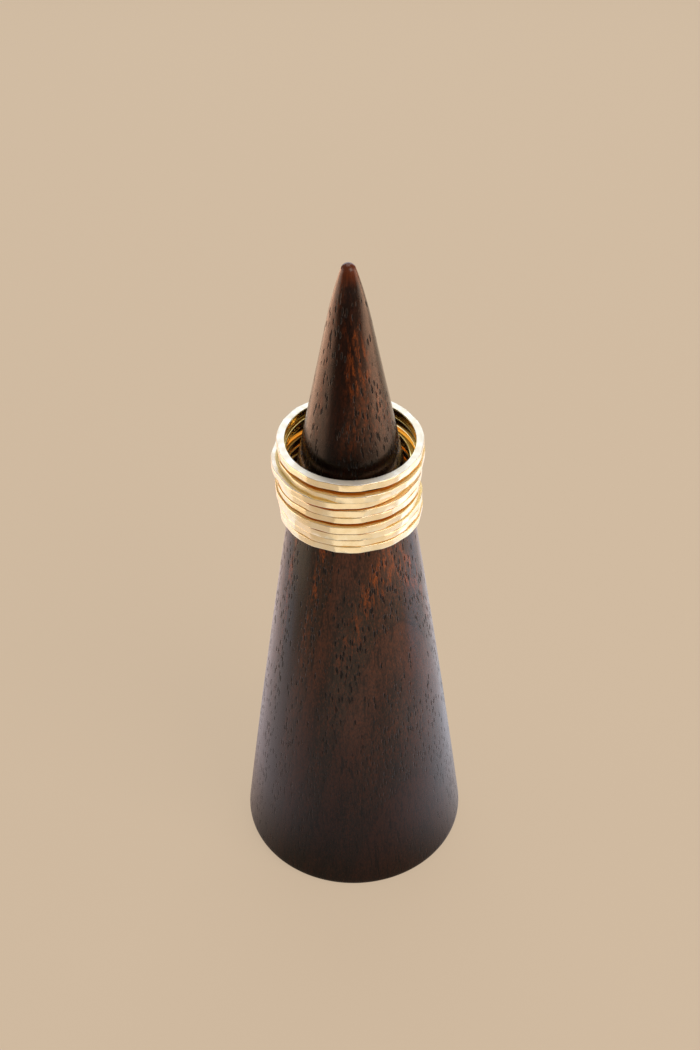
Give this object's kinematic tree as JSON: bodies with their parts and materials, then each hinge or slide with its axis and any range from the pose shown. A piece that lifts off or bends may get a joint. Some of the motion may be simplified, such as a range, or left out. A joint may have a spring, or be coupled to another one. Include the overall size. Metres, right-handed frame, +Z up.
{
  "type": "stackable rings on a ring cone",
  "caption": "Slim hammered gold finger bands stacked loosely over a tapering dark turned wood display cone.",
  "frame": {"origin": "middle of the cone's base, on the surface it stands on", "axes": "+Z up along the cone's axis, -Y towards the front of the stack, +X to the right seen from the front"},
  "size_m": [0.034, 0.034, 0.0998],
  "materials": {
    "dark_wood": "oiled satin, dark brown with reddish streaks and open pores",
    "hammered_gold": "pale gold, satin hammered outside, polished bore"
  },
  "bodies": {
    "root": {"ring_cone": "dark_wood", "ring_1": "hammered_gold", "ring_2": "hammered_gold", "ring_3": "hammered_gold", "ring_4": "hammered_gold", "ring_5": "hammered_gold", "ring_6": "hammered_gold", "ring_7": "hammered_gold", "ring_8": "hammered_gold", "ring_9": "hammered_gold"}
  },
  "joints": []
}
